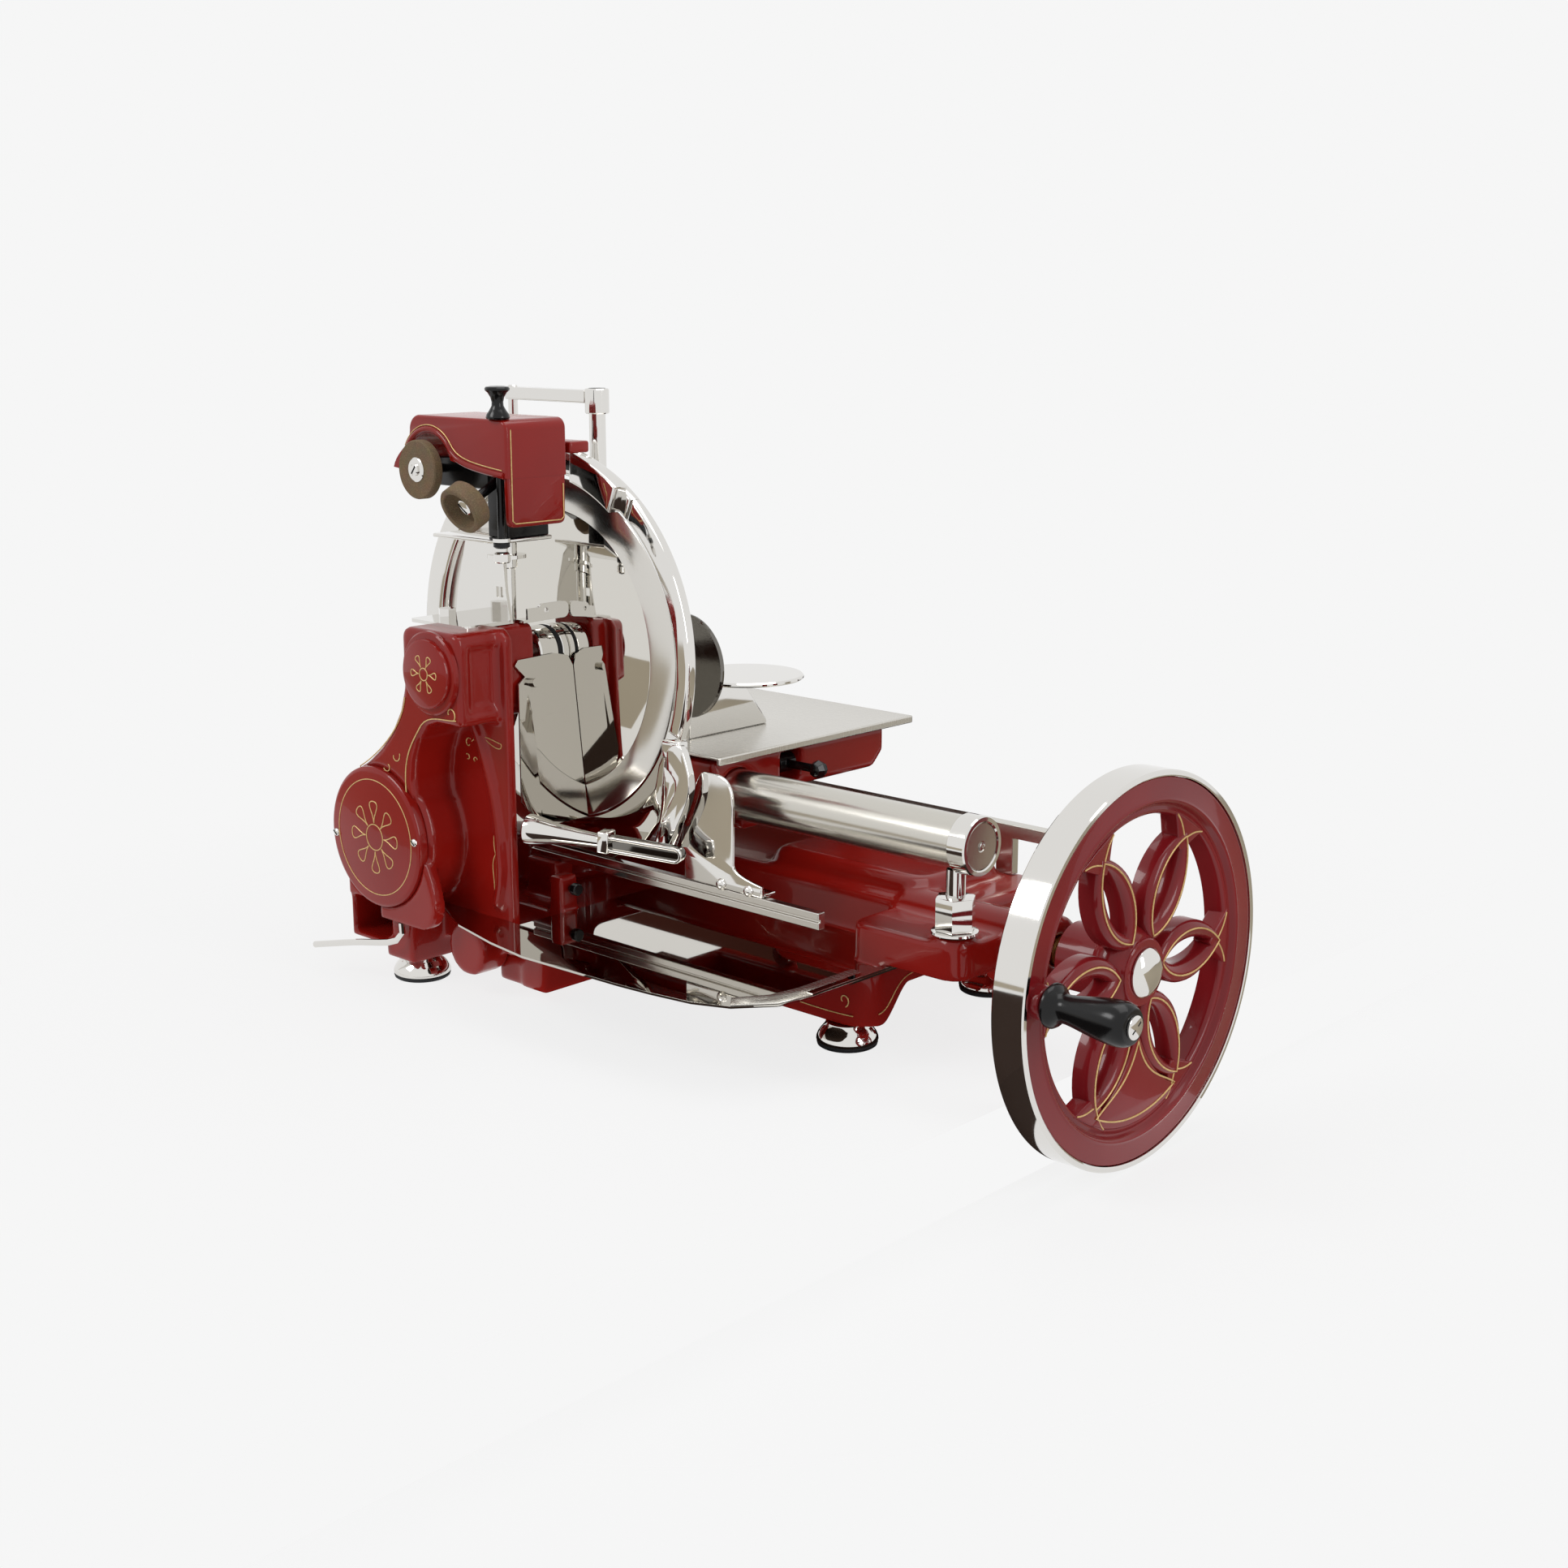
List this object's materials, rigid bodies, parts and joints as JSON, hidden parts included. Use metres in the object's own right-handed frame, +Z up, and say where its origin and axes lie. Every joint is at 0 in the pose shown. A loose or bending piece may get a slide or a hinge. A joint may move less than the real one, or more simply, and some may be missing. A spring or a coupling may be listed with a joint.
{
  "type": "meat slicer",
  "caption": "Hand crank meat slicer with vertical disc blade, spoked flywheel, sliding carriage, receiving tray and sharpener.",
  "frame": {"origin": "middle of the front left foot's sole, on the counter", "axes": "+X along the machine to the flywheel and the crank, +Y from the gear case towards the carriage behind the blade, +Z up"},
  "size_m": [0.8248, 0.4568, 0.601],
  "materials": {
    "enamel": "deep red glossy enamel on castings",
    "chrome": "polished chrome plate",
    "steel": "polished stainless steel",
    "plastic": "black moulded plastic",
    "stone": "brown abrasive stone",
    "brass": "plain bearing metal"
  },
  "bodies": {
    "frame": {"foot_front_left": "chrome", "foot_front_right": "chrome", "foot_back_right": "chrome", "foot_back_left": "chrome", "base_casting": "enamel", "gear_case": "enamel", "rear_cover": "enamel", "upper_cover": "enamel", "big_cover": "enamel", "blade_bush": "brass", "shaft_bush": "brass", "drive_chain": "steel", "guide_tube": "chrome", "tube_collar": "chrome", "guide_post": "chrome", "post_nut": "chrome", "slide_rail": "steel", "gauge_plate": "chrome", "guard_ring": "chrome", "guard_bar": "chrome", "guard_arm": "chrome", "deflector": "steel", "deflector_bracket": "chrome", "receiving_tray": "steel", "rear_track": "steel", "sharpener_stand": "chrome", "stand_bolt": "chrome"},
    "blade": {"blade": "steel", "blade_hub": "chrome", "blade_shaft": "steel", "blade_sprocket": "steel"},
    "layshaft": {"lay_shaft": "steel", "lay_sprocket": "steel"},
    "cross_shaft": {"cross_shaft": "steel", "cross_gear": "steel", "bevel_pinion": "steel"},
    "flywheel": {"flywheel_shaft": "steel", "bevel_gear": "steel", "flywheel": "enamel", "flywheel_rim": "chrome", "hub_cap": "chrome", "crank_bolt": "chrome"},
    "crank_grip": {"crank_grip": "plastic"},
    "blade_cover": {"blade_cover": "chrome"},
    "carriage": {"carriage": "enamel"},
    "table": {"meat_table": "steel", "press_post": "chrome", "pusher": "chrome"},
    "press": {"press_arm": "chrome"},
    "feed": {"feed_screw": "steel", "feed_knob": "plastic"},
    "thickness_lever": {"thickness_lever": "plastic"},
    "roller": {"rear_roller": "steel"},
    "sharpener": {"sharpener_body": "plastic", "sharpener_cover": "enamel"},
    "grinding_stone": {"grinding_stone": "stone"},
    "honing_stone": {"honing_stone": "stone"},
    "sharpener_knob": {"sharpener_knob": "plastic"},
    "release_lever": {"release_lever": "chrome"},
    "side_knob": {"side_knob": "plastic"}
  },
  "joints": [
    {"name": "flywheel_spin", "type": "hinge", "parent": "frame", "child": "flywheel", "pos_m": [0.6, 0.213, 0.093], "axis": [1, 0, 0], "continuous": true},
    {"name": "crank_grip_spin", "type": "hinge", "parent": "flywheel", "child": "crank_grip", "pos_m": [0.7, 0.074, 0.104], "axis": [1, 0, 0], "continuous": true},
    {"name": "cross_spin", "type": "hinge", "parent": "frame", "child": "cross_shaft", "pos_m": [-0.009, 0.1, 0.093], "axis": [0, 1, 0], "continuous": true},
    {"name": "lay_spin", "type": "hinge", "parent": "frame", "child": "layshaft", "pos_m": [-0.009, 0.02, 0.136], "axis": [0, 1, 0], "continuous": true},
    {"name": "blade_spin", "type": "hinge", "parent": "frame", "child": "blade", "pos_m": [0.078, 0.05, 0.299], "axis": [0, 1, 0], "continuous": true},
    {"name": "blade_cover_off", "type": "slide", "parent": "frame", "child": "blade_cover", "axis": [1, 0, 0], "range_m": [0, 0.08]},
    {"name": "carriage_slide", "type": "slide", "parent": "frame", "child": "carriage", "axis": [1, 0, 0], "range_m": [0, 0.2]},
    {"name": "roller_spin", "type": "hinge", "parent": "carriage", "child": "roller", "pos_m": [0.15, 0.325, 0.1672], "axis": [0, 1, 0], "continuous": true},
    {"name": "table_feed", "type": "slide", "parent": "carriage", "child": "table", "axis": [0, 1, 0], "range_m": [0, 0.12]},
    {"name": "feed_spin", "type": "hinge", "parent": "carriage", "child": "feed", "pos_m": [0.185, 0.385, 0.205], "axis": [0, 1, 0], "continuous": true},
    {"name": "thickness_tilt", "type": "hinge", "parent": "carriage", "child": "thickness_lever", "pos_m": [0.246, 0.218, 0.201], "axis": [0, 1, 0], "range_deg": [-15, 15]},
    {"name": "press_slide", "type": "slide", "parent": "table", "child": "press", "axis": [0, 0, 1], "range_m": [-0.06, 0]},
    {"name": "sharpener_swing", "type": "hinge", "parent": "frame", "child": "sharpener", "pos_m": [0.078, 0.049, 0.45], "axis": [0, 0, 1], "range_deg": [-15, 15]},
    {"name": "grinding_stone_spin", "type": "hinge", "parent": "sharpener", "child": "grinding_stone", "pos_m": [0.038, -0.008, 0.462], "axis": [0, 1, 0], "continuous": true},
    {"name": "honing_stone_spin", "type": "hinge", "parent": "sharpener", "child": "honing_stone", "pos_m": [0.112, -0.022, 0.436], "axis": [0, 0.8829, 0.4695], "continuous": true},
    {"name": "sharpener_knob_pull", "type": "slide", "parent": "sharpener", "child": "sharpener_knob", "axis": [0, 0, 1], "range_m": [0, 0.01], "stiffness_N_per_m": 400, "springref_m": -0.002},
    {"name": "release_swing", "type": "hinge", "parent": "frame", "child": "release_lever", "pos_m": [0.014, -0.032, 0.05], "axis": [0, 0, 1], "range_deg": [0, 30]},
    {"name": "side_knob_turn", "type": "hinge", "parent": "frame", "child": "side_knob", "pos_m": [0.133, 0.069, 0.093], "axis": [1, 0, 0], "range_deg": [-90, 90]}
  ],
  "couplings": [
    {"joint": "cross_spin", "follows": "flywheel_spin", "ratio": 2},
    {"joint": "lay_spin", "follows": "flywheel_spin", "ratio": -2.7778},
    {"joint": "blade_spin", "follows": "flywheel_spin", "ratio": -4.1667},
    {"joint": "roller_spin", "follows": "carriage_slide", "rad_per_m": 90.909},
    {"joint": "feed_spin", "follows": "table_feed", "rad_per_m": 628.32}
  ]
}
